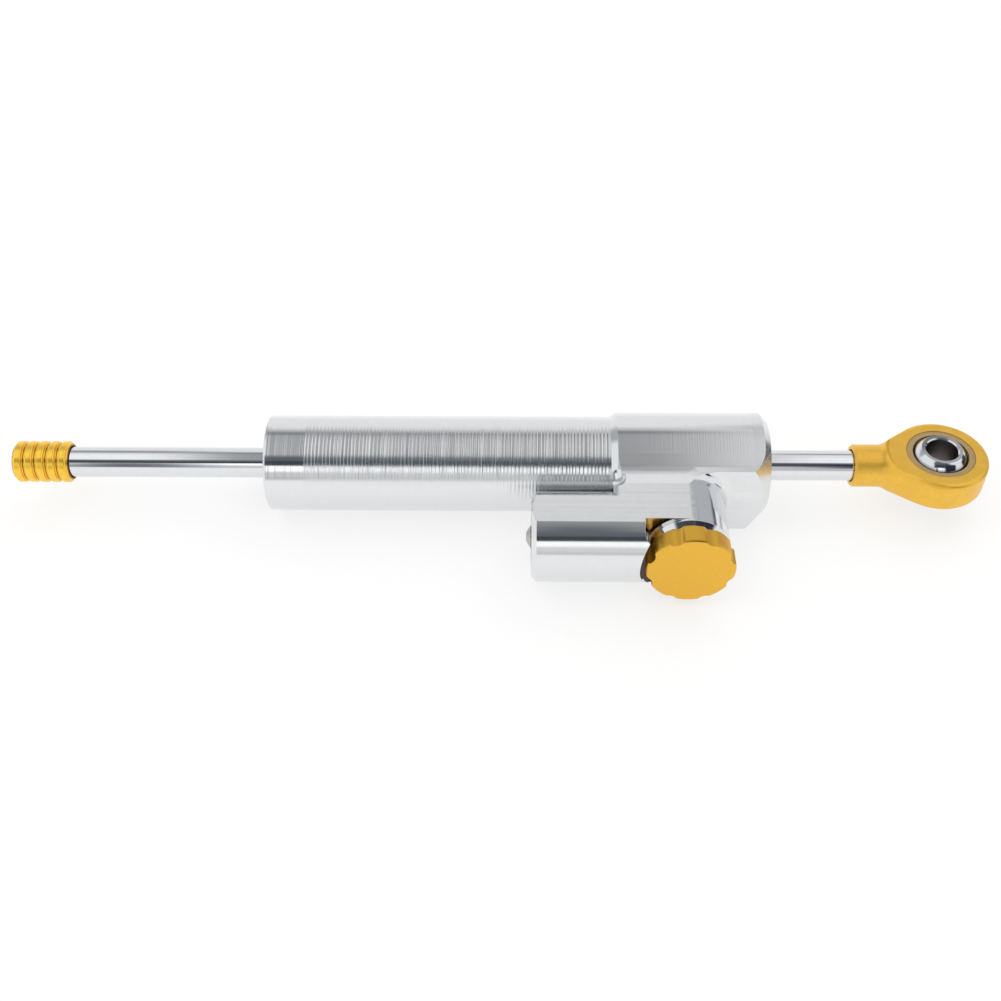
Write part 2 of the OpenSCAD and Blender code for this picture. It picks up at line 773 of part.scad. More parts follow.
module chamber_plug() {
    groove_w = reserve_ring_cord + groove_room;
    groove_x = plug_end - plug_groove_back - groove_w;
    color(bright) at_chamber() difference() {
        bar_x(chamber_bore_r, plug_x, plug_end);
        ring_x(chamber_bore_r - reserve_ring_cord, chamber_bore_r + over,
            groove_x, groove_x + groove_w);
        bar_x(fill_d / 2, plug_x - over, plug_end + over);
        for (side = [-1, 1]) translate([0, 0, side * spanner_r])
            bar_x(spanner_d / 2, plug_x - over, plug_x + spanner_depth);
    }
}

module chamber_plug_ring() {
    color(rubber) at_chamber() cord_x(chamber_bore_r - reserve_ring_cord / 2, reserve_ring_cord,
        plug_end - plug_groove_back - (reserve_ring_cord + groove_room) / 2);
}

module filling_screw() {
    head_r = fill_head_d / 2;
    dome_r = (pow(head_r, 2) + pow(fill_head_h, 2)) / (2 * fill_head_h);
    top_x = fill_x - fill_head_h;
    color(steel) at_chamber() difference() {
        union() {
            intersection() {
                translate([top_x + dome_r, 0, 0]) sphere(r = dome_r);
                bar_x(head_r, top_x - over, fill_x);
            }
            bar_x(fill_d / 2, fill_x - tiny, fill_x + fill_len);
        }
        bar_x(key_d / 2, top_x - over, top_x + key_depth, $fn = 6);
    }
}

module filling_screw_washer() {
    color(bronze) at_chamber() ring_x(fill_d / 2, fill_head_d / 2 + washer_rim, fill_x, plug_x);
}

module reserve_spring() {
    color(steel) at_chamber() ring_x((spring_d - spring_wire) / 2, (spring_d + spring_wire) / 2,
        plug_end, reserve_x);
}

module reserve_piston() {
    r = chamber_bore_r - reserve_gap;
    groove_half = (reserve_ring_cord + groove_room) / 2;
    mid = reserve_x + reserve_len / 2;
    end = reserve_x + reserve_len;
    color(bright) at_chamber() difference() {
        bar_x(r, reserve_x, end);
        ring_x(r - reserve_ring_cord, r + over, mid - groove_half, mid + groove_half);
        bar_x(chamber_bore_r - recess_wall, end - recess_depth, end + over);
    }
}

module reserve_piston_ring() {
    r = chamber_bore_r - reserve_gap;
    color(rubber) at_chamber() cord_x(r - reserve_ring_cord / 2, reserve_ring_cord,
        reserve_x + reserve_len / 2);
}

module valve_seat() {
    color(bronze) difference() {
        bar_knob(seat_d / 2, sleeve_out_r, seat_mouth);
        bar_knob(orifice_d / 2, sleeve_out_r - over, seat_mouth + over);
    }
}

module valve_gland() {
    out_r = valve_gland_d / 2;
    hole_r = 0.7;
    hole_depth = 1.5;
    color(steel) difference() {
        bar_knob(out_r, gland_back, gland_front);
        turn_knob() translate([out_r - valve_cord, gland_back + outer_groove])
            square([valve_cord + over, valve_cord + groove_room]);
        bar_knob(spindle_r + valve_gap, gland_back - over, gland_front + over);
        turn_knob() translate([0, gland_back + inner_groove])
            square([spindle_r + valve_gap + spindle_cord, spindle_cord + groove_room]);
        for (side = [-1, 1]) translate([side * (out_r + spindle_r) / 2, 0, 0])
            bar_knob(hole_r, gland_front - hole_depth, gland_front + over);
    }
}

module valve_gland_ring() {
    color(rubber) turn_knob() translate([(valve_gland_d - valve_cord) / 2,
            gland_back + outer_groove + (valve_cord + groove_room) / 2])
        circle(d = valve_cord, $fn = sections);
}

module spindle_ring() {
    color(rubber) turn_knob() translate([spindle_r + valve_gap / 2 + spindle_cord / 2,
            gland_back + inner_groove + (spindle_cord + groove_room) / 2])
        circle(d = spindle_cord, $fn = sections);
}

module click_ball() {
    color(steel) translate([knob_x, -click_ball_y, click_r]) sphere(d = click_ball_d);
}

module click_spring() {
    color(steel) translate([0, 0, click_r]) difference() {
        bar_knob(click_spring_r + click_wire / 2, click_floor, click_ball_y - click_ball_d / 2);
        bar_knob(click_spring_r - click_wire / 2, click_floor - over, click_ball_y);
    }
}

// Where the piston's two clips start.
clip_places = [piston_x - piston_len / 2 - piston_clip_t, piston_x + piston_len / 2];

module piston_rod() {
    left = collar_face - rod_entry;
    right = shank_x + rod_entry;
    chamfer = 0.5;
    color(bright) difference() {
        turn_x() polygon([[0, left - collar_stub], [stub_d / 2 - chamfer, left - collar_stub],
            [stub_d / 2, left - collar_stub + chamfer], [stub_d / 2, left], [rod_r, left],
            [rod_r, right], [stub_d / 2, right], [stub_d / 2, right + eye_stub - chamfer],
            [stub_d / 2 - chamfer, right + eye_stub], [0, right + eye_stub]]);
        for (x = clip_places) ring_x(clip_groove_r, rod_r + over, x, x + piston_clip_t);
    }
}

module piston() {
    groove_half = band_w / 2 + band_room;
    color(bright) difference() {
        ring_x(rod_r, piston_r, piston_x - piston_len / 2, piston_x + piston_len / 2);
        ring_x(piston_groove_r, piston_r + over, piston_x - groove_half, piston_x + groove_half);
    }
}

module piston_band() {
    color("white") ring_x(band_in_r, band_out_r, piston_x - band_w / 2, piston_x + band_w / 2);
}

module piston_energizer_ring() {
    color(rubber) cord_x(piston_ring_r, piston_ring_cord, piston_x);
}

module piston_clips() {
    slot = 2 * clip_groove_r - clip_snap;
    color(steel) difference() {
        for (x = clip_places) ring_x(clip_groove_r, piston_clip_d / 2, x, x + piston_clip_t);
        translate([piston_x - piston_len, -slot / 2, -piston_clip_d])
            cube([2 * piston_len, slot, piston_clip_d]);
    }
}

// One ring of the collar, rounded at both sides.
function collar_ring(i) = let (a = collar_x + i * collar_pitch + collar_groove_w / 2,
        b = collar_x + (i + 1) * collar_pitch - collar_groove_w / 2,
        mid_r = collar_d / 2 - collar_round)
    concat([[collar_groove_d / 2, a]], arc(mid_r, a + collar_round, collar_round, -90, 0),
        arc(mid_r, b - collar_round, collar_round, 0, 90), [[collar_groove_d / 2, b]]);

module end_collar() {
    low = collar_groove_d / 2;
    edge = 0.2;
    color(gold) difference() {
        turn_x() polygon(concat([[0, collar_x], [low - edge, collar_x]],
            [for (i = [0:collar_rings - 1]) each collar_ring(i)],
            [[low - edge, collar_face], [0, collar_face]]));
        bar_x(stub_d / 2, collar_face - rod_entry - collar_stub, collar_face);
        bar_x(entry_r, collar_face - rod_entry, collar_face + over);
    }
}

// The turned outline of shank and neck, as points of radius and x. Its cone runs up to
// where it touches the head's round.
function neck_outline() = let (c = shank_chamfer, touch_x = eye_x - head_r * sin(neck_angle))
    concat([[0, shank_x], [shank_r - c, shank_x], [shank_r, shank_x + c]],
        arc(shank_r + neck_r, neck_x, neck_r, 180, 180 - neck_angle, 8),
        [[head_r * cos(neck_angle), touch_x], [0, touch_x]]);

module rod_end_housing() {
    edge = head_half - head_edge;
    cut_slope = 1;
    color(gold) difference() {
        union() {
            turn_x() polygon(neck_outline());
            translate([eye_x, 0, 0]) rotate_extrude() polygon(concat([[0, -head_half]],
                arc(head_r - head_edge, -edge, head_edge, -90, 0),
                arc(head_r - head_edge, edge, head_edge, 0, 90), [[0, head_half]]));
        }
        above_and_below() translate([eye_x, 0, 0]) rotate_extrude() polygon([[0, head_half],
            [flat_r - cut_slope, head_half], [flat_r, head_half + cut_slope],
            [flat_r, head_r], [0, head_r]]);
        translate([eye_x, 0, 0]) cylinder(d = race_d, h = head_d, center = true);
        bar_x(stub_d / 2, shank_x, shank_x + rod_entry + eye_stub);
        bar_x(entry_r, shank_x - over, shank_x + rod_entry);
    }
}

module rod_end_race() {
    color(steel) translate([eye_x, 0, 0]) difference() {
        cylinder(d = race_d, h = head_t - 2 * race_inset, center = true);
        sphere(r = race_in_r);
    }
}

module rod_end_liner() {
    color("dimgray") translate([eye_x, 0, 0]) intersection() {
        difference() {
            sphere(r = liner_out_r);
            sphere(r = liner_in_r);
        }
        cube([head_d, head_d, head_t - 2 * race_inset - 2 * liner_inset], center = true);
    }
}

module rod_end_ball() {
    half = ball_w / 2;
    hole_r = eye_bore_d / 2;
    color(bright) translate([eye_x, 0, 0]) difference() {
        intersection() {
            sphere(r = ball_r);
            cube([head_d, head_d, ball_w], center = true);
        }
        cylinder(r = hole_r, h = head_d, center = true);
        above_and_below() translate([0, 0, half - eye_chamfer])
            cylinder(r1 = hole_r, r2 = hole_r + eye_chamfer + over, h = eye_chamfer + over);
    }
}

module adjuster_knob() {
    step = 360 / knob_notches;
    color(gold) difference() {
        union() {
            turn_knob() polygon([[0, knob_back], [knob_r - knob_back_edge, knob_back],
                [knob_r, knob_back + knob_back_edge], [knob_r, knob_front - knob_edge],
                [knob_r - knob_edge, knob_front], [0, knob_front]]);
            bar_knob(spindle_r + hub_wall, hub_back, knob_back + over);
        }
        for (i = [0:knob_notches - 1]) translate([knob_x, 0, 0]) rotate([0, (i + 0.5) * step, 0])
            translate([knob_r - notch_depth + notch_r, over - knob_back, 0]) rotate([90, 0, 0])
                cylinder(r = notch_r, h = knob_t + 2 * over);
        for (i = [0:clicks - 1]) translate([knob_x, 0, 0]) rotate([0, i * 360 / clicks, 0])
            translate([0, over - knob_back, click_r]) rotate([90, 0, 0])
                cylinder(d = dimple_d, h = over + dimple_depth);
        bar_knob(spindle_r, hub_back - over, spindle_end);
        translate([knob_x, -grub_y, -knob_r - over]) cylinder(d = grub_d, h = knob_r + over);
    }
}

module adjuster_spindle() {
    color(steel) turn_knob() polygon([[0, nose_tip], [nose_r, nose_tip], [nose_r, shoulder_back],
        [needle_bore_r - shoulder_gap, shoulder_back], [needle_bore_r - shoulder_gap, shoulder_front],
        [spindle_r, shoulder_front], [spindle_r, spindle_end], [0, spindle_end]]);
}

module knob_grub_screw() {
    foot = -spindle_r - grub_len;
    color(steel) translate([knob_x, -grub_y, 0]) difference() {
        translate([0, 0, foot]) cylinder(d = grub_d, h = grub_len);
        rotate([90, 0, 0]) cylinder(r = spindle_r, h = knob_t, center = true);
        translate([0, 0, foot - over]) cylinder(d = key_d, h = key_depth + over, $fn = 6);
    }
}

module valve_needle() {
    r = needle_bore_r - valve_gap;
    cone_foot = needle_tip + cone_len;
    hole_r = nose_r + valve_gap;
    color(bronze) turn_knob() polygon([[0, needle_tip], [cone_tip_r, needle_tip],
        [cone_r, cone_foot], [r, cone_foot], [r, needle_back], [hole_r, needle_back],
        [hole_r, needle_hole], [0, needle_hole]]);
}

cylinder_body();
pressure_sleeve();
left_gland();
left_gland_ring();
left_retaining_clip();
left_rod_bush();
left_rod_seal();
left_wiper();
right_rod_bush();
right_rod_seal();
right_wiper();
right_retaining_clip();
chamber_plug();
chamber_plug_ring();
filling_screw();
filling_screw_washer();
reserve_spring();
reserve_piston();
reserve_piston_ring();
valve_seat();
valve_gland();
valve_gland_ring();
spindle_ring();
click_ball();
click_spring();
piston_rod();
piston();
piston_band();
piston_energizer_ring();
piston_clips();
end_collar();
rod_end_housing();
rod_end_race();
rod_end_liner();
rod_end_ball();
adjuster_knob();
adjuster_spindle();
knob_grub_screw();
valve_needle();
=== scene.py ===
import json
import math
import bpy
import numpy as np
from mathutils import Matrix, Vector


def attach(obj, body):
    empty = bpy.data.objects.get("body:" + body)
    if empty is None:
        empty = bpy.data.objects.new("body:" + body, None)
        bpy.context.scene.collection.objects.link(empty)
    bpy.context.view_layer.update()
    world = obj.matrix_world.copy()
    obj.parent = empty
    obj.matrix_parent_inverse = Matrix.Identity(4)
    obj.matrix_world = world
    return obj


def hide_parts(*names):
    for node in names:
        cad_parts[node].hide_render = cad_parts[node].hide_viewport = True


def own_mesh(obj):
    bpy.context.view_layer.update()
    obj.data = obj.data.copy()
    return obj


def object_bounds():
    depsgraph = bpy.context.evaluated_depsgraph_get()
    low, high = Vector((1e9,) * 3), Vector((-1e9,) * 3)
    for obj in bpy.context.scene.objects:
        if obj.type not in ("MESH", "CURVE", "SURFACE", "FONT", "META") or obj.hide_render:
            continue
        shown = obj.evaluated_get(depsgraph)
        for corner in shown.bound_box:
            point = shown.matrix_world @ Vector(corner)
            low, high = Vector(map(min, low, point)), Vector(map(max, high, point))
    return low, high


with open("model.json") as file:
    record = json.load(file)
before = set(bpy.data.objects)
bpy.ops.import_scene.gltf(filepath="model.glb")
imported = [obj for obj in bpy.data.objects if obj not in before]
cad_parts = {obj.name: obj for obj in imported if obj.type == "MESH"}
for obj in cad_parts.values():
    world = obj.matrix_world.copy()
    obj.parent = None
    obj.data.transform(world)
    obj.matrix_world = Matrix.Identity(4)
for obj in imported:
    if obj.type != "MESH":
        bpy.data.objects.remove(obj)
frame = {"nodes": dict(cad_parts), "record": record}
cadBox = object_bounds()
mm = 0.001
print("frame loaded:", len(frame["nodes"]), "nodes")

# The viewpoint stands above and in front of the damper. Place, lens and sensor in mm, angles in degrees.
viewpoint = {
    "place": (31.12, -240.41, 229.76),
    "swing": 1.25,  # turn about the vertical, away from straight in front
    "rise": 45.37,  # height of the view above the horizon
    "roll": -0.58,
    "lens": 45.22,
    "sensor": 36.0,
    "nearest": 10,  # nothing nearer than this is drawn
}


def aimCamera(view):
    # The camera's three axes come from its swing and rise, then the roll turns two of them.
    swing, rise, roll = (math.radians(view[key]) for key in ("swing", "rise", "roll"))
    back = Vector((math.sin(swing) * math.cos(rise), -math.cos(swing) * math.cos(rise), math.sin(rise)))
    level = Vector((math.cos(swing), math.sin(swing), 0))
    upright = back.cross(level)
    right = math.cos(roll) * level + math.sin(roll) * upright
    top = math.cos(roll) * upright - math.sin(roll) * level
    data = bpy.data.cameras.new("viewCamera")
    data.lens = view["lens"]
    data.sensor_width = view["sensor"]
    data.clip_start = view["nearest"] * mm
    camera = bpy.data.objects.new("viewCamera", data)
    turned = Matrix((right, top, back)).transposed().to_4x4()
    camera.matrix_world = Matrix.Translation(Vector(view["place"]) * mm) @ turned
    bpy.context.scene.collection.objects.link(camera)
    bpy.context.scene.camera = camera


class Wire:
    # A socket of a node tree. Sums, products and the like of wires add Math nodes.
    def __init__(self, tree, socket=None):
        self.tree, self.socket = tree, socket

    def node(self, kind, settings=None, sockets=None, out=0):
        # Adds a node by its type, its settings, and the values or wires of its sockets.
        made = self.tree.nodes.new(kind)
        for name, value in (settings or {}).items():
            setattr(made, name, value)
        for name, value in (sockets or {}).items():
            if isinstance(value, Wire):
                self.tree.links.new(value.socket, made.inputs[name])
            else:
                made.inputs[name].default_value = value
        return Wire(self.tree, made.outputs[out]) if made.outputs else None

    def maths(self, operation, *terms):
        return self.node("ShaderNodeMath", {"operation": operation}, dict(enumerate(terms)))

    def __add__(self, other):
        return self.maths("ADD", self, other)

    def __radd__(self, other):
        return self.maths("ADD", other, self)

    def __sub__(self, other):
        return self.maths("SUBTRACT", self, other)

    def __rsub__(self, other):
        return self.maths("SUBTRACT", other, self)

    def __mul__(self, other):
        return self.maths("MULTIPLY", self, other)

    def __rmul__(self, other):
        return self.maths("MULTIPLY", other, self)

    def __truediv__(self, other):
        return self.maths("DIVIDE", self, other)

    def __pow__(self, other):
        return self.maths("POWER", self, other)

    def __abs__(self):
        return self.maths("ABSOLUTE", self)


# What all finishes share.
common = {
    "noiseRoughness": 0.6,  # how strong each finer wave of a noise is beside the one before it
    "edge": 0.12,  # mm; edges catch the light as if they were rounded by this
    "edgeSamples": 4,
}


def emptyTree(owner):
    # Clears the nodes of a material or the world and gives a wire to start from.
    owner.use_nodes = True
    owner.node_tree.nodes.clear()
    return Wire(owner.node_tree)


def fade(value, low, high):
    # 0 below low, 1 above high, and a smooth S between them. It runs down where low is above high.
    return value.node("ShaderNodeMapRange", {"interpolation_type": "SMOOTHSTEP"},
                      {"Value": value, "From Min": low, "From Max": high})


def near(value, middle, width, core=0.6):
    # 1 where value is within core times width of middle, and 0 once it is width away.
    return fade(abs(value - middle), width, width * core)


def length(a, b):
    return (a * a + b * b) ** 0.5


def mixTone(share, first, second):
    # Mixes two colours, each a tuple or a wire. Sockets 6 and 7 and output 2 are the node's colour ones.
    def full(tone):
        return tone if isinstance(tone, Wire) else (*tone, 1)
    sockets = {0: share, 6: full(first), 7: full(second)}
    return share.node("ShaderNodeMix", {"data_type": "RGBA"}, sockets, out=2)


def lineNoise(along, pitch, detail=1.0):
    # Uneven parallel lines: noise that changes only with one value, in mm.
    return along.node("ShaderNodeTexNoise", {"noise_dimensions": "1D"}, {
        "W": along / pitch, "Scale": 1.0, "Detail": detail, "Roughness": common["noiseRoughness"]})


def grain(place, size, detail=2.0):
    # Even noise in all three directions, with its grain size in mm.
    return place.node("ShaderNodeTexNoise", None, {
        "Vector": place, "Scale": 1.0 / (size * mm), "Detail": detail,
        "Roughness": common["noiseRoughness"]})


def makeMaterial(name, recipe, edge=common["edge"]):
    # recipe takes the place, in m, and its three coordinates, in mm. It gives the colour, the metallic
    # share, the roughness and the height in mm.
    material = bpy.data.materials.new(name)
    root = emptyTree(material)
    place = root.node("ShaderNodeTexCoord", out="Object")
    scaled = root.node("ShaderNodeVectorMath", {"operation": "SCALE"}, {0: place, "Scale": 1 / mm})
    axes = [root.node("ShaderNodeSeparateXYZ", None, {0: scaled}, out=axis) for axis in "XYZ"]
    tone, metallic, roughness, height = recipe(place, *axes)
    rounded = root.node("ShaderNodeBevel", {"samples": common["edgeSamples"]}, {"Radius": edge * mm})
    bumped = root.node("ShaderNodeBump", None, {
        "Strength": 1.0, "Distance": mm, "Height": height, "Normal": rounded})
    surface = root.node("ShaderNodeBsdfPrincipled", None, {
        "Base Color": tone, "Metallic": metallic, "Roughness": roughness, "Normal": bumped})
    root.node("ShaderNodeOutputMaterial", None, {"Surface": surface})
    return material


def dress(material, node):
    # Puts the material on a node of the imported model.
    slots = frame["nodes"][node].data.materials
    if len(slots):
        slots[0] = material
    else:
        slots.append(material)


aimCamera(viewpoint)
print("camera placed")

# The studio: a pale floor, two soft lamps, and the room that polished metal mirrors. Lengths in m.
studio = {
    "floorGap": 0.00002,  # below the damper
    "floorLeft": -1.5,
    "floorRight": 0.2,
    "floorDepth": 1.5,  # from the damper to the front and to the back
    "floorTone": (0.93, 0.93, 0.92),
    "shadowShare": 0.3,  # how much of the floor's look is its lit surface, which holds the shadow
    "floorGlow": 0.98,  # the floor as metal sees it
    "roomLevel": 0.95,  # plain light from all round
    "lampWatts": 1.6,
    "lampSpan": 0.7,
    "lampAim": (0.03, 0, 0),
    "wallLevel": 0.93,  # the room's wall as metal sees it
    "coolness": 0.3,  # how blue the darkest panels are
    "coolPower": 6,  # how fast the blue goes as a panel gets paler
}
lampPlaces = {
    "softLampLeft": (-0.5, -0.2, 0.8),
    "softLampBack": (0.4, 0.5, 0.8),
}
# The room is one plain wall all round, with these panels before it, each over those listed above it.
# A panel runs from start to end, in degrees from straight up toward the front, and from left to
# right, as the sine of the sideways angle. Each edge has a softness, in the same units as its place.
roomPanels = {
    # name: start, softness, end, softness, left, right, softness, level
    "leftSkirt": (-50, 20, -26, 20, -1, -0.24, 0.08, 0.38),
    "rightSkirt": (-53, 12, -37, 12, 0.18, 1, 0.10, 0.42),
    "paleCeiling": (-14, 26, 30, 14, -1, 1, 0.1, 1.08),
    "rightCeiling": (-35, 8, 34, 24, 0.13, 0.21, 0.06, 0.74),
    "greyCeiling": (-39, 20, 36, 10, -0.25, 0.145, 0.08, 0.38),
    "backBeam": (-32, 5, -25, 8, -0.24, 0.14, 0.08, 0.24),
    "nearCeiling": (13, 26, 36, 6, 0.0, 0.10, 0.12, 0.13),
    "beam": (30, 10, 56, 2, -1, 1, 0.1, 0.15),
    "beamFoot": (42, 6, 56, 2, -1, 1, 0.1, 0.065),
    "strip": (54.5, 4, 69, 6, -1, 1, 0.1, 1.22),
    "tubeStrip": (54.5, 4, 68, 6, -0.25, -0.01, 0.06, 1.5),
    "frontWall": (69, 8, 88, 6, -1, 1, 0.1, 0.78),
    "wallFoot": (82, 8, 88, 4, -1, 1, 0.1, 0.66),
    "rightWall": (60, 10, 90, 8, 0.155, 1, 0.06, 0.62),
    "rightBeam": (37, 16, 59, 12, 0.16, 1, 0.06, 0.10),
    "endBeam": (34, 12, 57, 8, 0.29, 1, 0.10, 0.37),
    "leftStand": (55, 10, 86, 8, -0.345, -0.25, 0.08, 0.18),
}
# Further shapes lie over the panels. Each is the product of fades, from where it is gone to where it
# is full: along x to the right, y to the back and z up, aside to either side, or turn, the panels'
# angle. A cut takes a part of the shape away again.
roomShapes = {
    "farSides": {
        "tone": (0.93, 0.94, 0.95),
        "fades": [("aside", 0.40, 0.54)],
    },
    "dimLeft": {
        "tone": (0.46, 0.47, 0.50),
        "fades": [("x", -0.34, -0.46), ("y", 0.2, 0.4), ("z", 0.2, 0.4)],
    },
    "dimRight": {
        "tone": (0.50, 0.51, 0.54),
        "fades": [("x", 0.26, 0.42), ("y", 0.3, 0.5), ("z", 0.14, 0.22), ("z", 0.85, 0.6)],
    },
    "darkCorner": {
        "tone": (0.09, 0.09, 0.10),
        "fades": [("x", 0.52, 0.64), ("y", -0.04, 0.04), ("z", -0.3, -0.188), ("z", 0.26, 0.148)],
        "cut": [("y", 0.45, 0.55), ("z", 0.11, 0.05)],
    },
    "rightStand": {
        "tone": (0.03, 0.03, 0.05),
        "fades": [("x", 0.20, 0.27), ("x", 0.84, 0.76), ("turn", 38, 45.2), ("turn", 74, 66.8)],
    },
}


def makeFloor():
    # One rectangle just below the damper. Most of its look is a glow, so that it stays white.
    lift = cadBox[0].z - studio["floorGap"]
    left, right, deep = studio["floorLeft"], studio["floorRight"], studio["floorDepth"]
    corners = [(left, -deep, lift), (right, -deep, lift), (right, deep, lift), (left, deep, lift)]
    mesh = bpy.data.meshes.new("floor")
    mesh.from_pydata(corners, [], [(0, 1, 2, 3)])
    floor = bpy.data.objects.new("floor", mesh)
    bpy.context.scene.collection.objects.link(floor)
    material = bpy.data.materials.new("paleFloor")
    root = emptyTree(material)
    toCamera = root.node("ShaderNodeLightPath", out="Is Camera Ray")
    level = toCamera * (1 - studio["floorGlow"]) + studio["floorGlow"]
    glow = root.node("ShaderNodeEmission", None, {"Color": (1, 1, 1, 1), "Strength": level})
    lit = root.node("ShaderNodeBsdfDiffuse", None, {"Color": (*studio["floorTone"], 1)})
    both = root.node("ShaderNodeMixShader", None, {0: studio["shadowShare"], 1: glow, 2: lit})
    root.node("ShaderNodeOutputMaterial", None, {"Surface": both})
    mesh.materials.append(material)


def cool(level):
    # The grey of a panel, a little blue where it is dark.
    drift = studio["coolness"] * (1 - min(level, 1)) ** studio["coolPower"]
    return (level * (1 - drift), level, level * (1 + drift))


def past(value, edge, softness):
    # 0 before an edge and 1 past it, with the change spread over its softness.
    return fade(value, edge - softness / 2, edge + softness / 2)


def makeRoom():
    # Metal mirrors the panels and shapes. Other surfaces get plain light, and the camera sees white.
    world = bpy.data.worlds.new("room")
    bpy.context.scene.world = world
    root = emptyTree(world)
    toward = root.node("ShaderNodeTexCoord", out="Generated")
    x, y, z = [root.node("ShaderNodeSeparateXYZ", None, {0: toward}, out=axis) for axis in "XYZ"]
    turn = root.maths("ARCTAN2", 0 - y, z) * math.degrees(1)
    seen = cool(studio["wallLevel"])
    for start, startSoft, end, endSoft, left, right, sideSoft, level in roomPanels.values():
        cover = past(turn, start, startSoft) * (1 - past(turn, end, endSoft))
        if left > -1:
            cover = cover * past(x, left, sideSoft)
        if right < 1:
            cover = cover * (1 - past(x, right, sideSoft))
        seen = mixTone(cover, seen, cool(level))
    measures = {"x": x, "y": y, "z": z, "aside": abs(x), "turn": turn}

    def product(fades):
        return math.prod(fade(measures[along], gone, full) for along, gone, full in fades)
    for shape in roomShapes.values():
        cover = product(shape["fades"])
        if "cut" in shape:
            cover = cover * (1 - product(shape["cut"]))
        seen = mixTone(cover, seen, shape["tone"])
    toCamera = root.node("ShaderNodeLightPath", out="Is Camera Ray")
    toDiffuse = root.node("ShaderNodeLightPath", out="Is Diffuse Ray")
    seen = mixTone(toDiffuse, seen, (studio["roomLevel"],) * 3)
    seen = mixTone(toCamera, seen, (1, 1, 1))
    light = root.node("ShaderNodeBackground", None, {"Color": seen, "Strength": 1.0})
    root.node("ShaderNodeOutputWorld", None, {"Surface": light})


def makeLamp(name, place):
    # A soft square lamp that looks at the damper's middle, unseen in reflections.
    data = bpy.data.lights.new(name, "AREA")
    data.size = studio["lampSpan"]
    data.energy = studio["lampWatts"]
    lamp = bpy.data.objects.new(name, data)
    lamp.location = place
    toDamper = Vector(studio["lampAim"]) - Vector(place)
    lamp.rotation_euler = toDamper.to_track_quat("-Z", "Y").to_euler()
    lamp.visible_glossy = False
    bpy.context.scene.collection.objects.link(lamp)


makeFloor()
makeRoom()
for lampName, lampPlace in lampPlaces.items():
    makeLamp(lampName, lampPlace)
bpy.context.scene.view_settings.view_transform = "Standard"
print("studio built")

# The milled body. Lengths and heights of marks in mm, places in the damper's frame.
bodyFinish = {
    "tone": (0.80, 0.81, 0.82),
    "hazeDepth": 0.95,  # the tone of hazy spots, as a share of the plain one
    "hazeSize": 1.6,
    "skin": 0.2,  # a place this near to a surface is on it
    "flatSkin": 0.12,
    "pocketSkin": 0.1,
    "tubeR": 12.5,
    "tubeEnd": 54.4,  # where the tube meets the block
    "tubeBlend": 0.1,
    "blockR": 13.65,
    "blockStart": 54.6,
    "blockFull": 56.0,
    "endStart": 90.3,  # from here the block is less polished
    "endFull": 90.7,
    "flat": 10.3,  # how far the two flats are from the rod's axis
    "chamberY": -26.3,
    "chamberR": 11.2,
    "knobX": 72.9,
    "pocketY": -29.5,  # the floor of the knob's pocket
    "ridgePitch": 0.92,  # feed marks of the last turning pass
    "ridgeHeight": 0.038,
    "ridgeStart": -24.2,  # where the finer pass at the open end stops
    "ridgeBlend": 0.3,
    "wanderPitch": 6.0,  # the ridges aren't quite even: their phase wanders
    "wander": 7,  # in radians
    "swellPitch": 2.4,  # and their height varies
    "swellShift": 40,  # takes the swell from another stretch of noise than the wander
    "swellLow": 0.5,  # as a share of ridgeHeight, like swellSpan
    "swellSpan": 0.8,
    "scatterPitch": 0.13,  # the fine tearing on the ridges, which spreads light sideways
    "scatterDetail": 0.5,
    "scatterHeight": 0.014,
    "finePitch": 0.3,  # fine turning marks, with their heights on tube, block and chamber
    "fineOnTube": 0.018,
    "fineOnBlock": 0.006,
    "fineOnChamber": 0.0009,
    "flatPitch": 1.1,  # milling marks, which run nearly along the block
    "flatSlant": 0.004,
    "flatHeight": 0.004,
    "roughness": 0.07,
    "hazeRoughness": 0.05,  # this and the next five are added to roughness
    "flatRoughness": 0.22,
    "ridgeRoughness": 0.09,
    "blockRoughness": 0.03,
    "endRoughness": 0.14,
    # The next seven values make the painted shade in the lower part of the knob's pocket: its added
    # roughness, tone, cover and extent.
    "pocketShadeRoughness": 0.2,
    "pocketShadeTone": (0.07, 0.035, 0.02),
    "pocketShadeCover": 0.92,
    "pocketShadeInner": 10.2,  # from the knob's axis
    "pocketShadeOuter": 10.5,
    "pocketShadeTop": 3.0,
    "pocketShadeFull": 0.5,
}


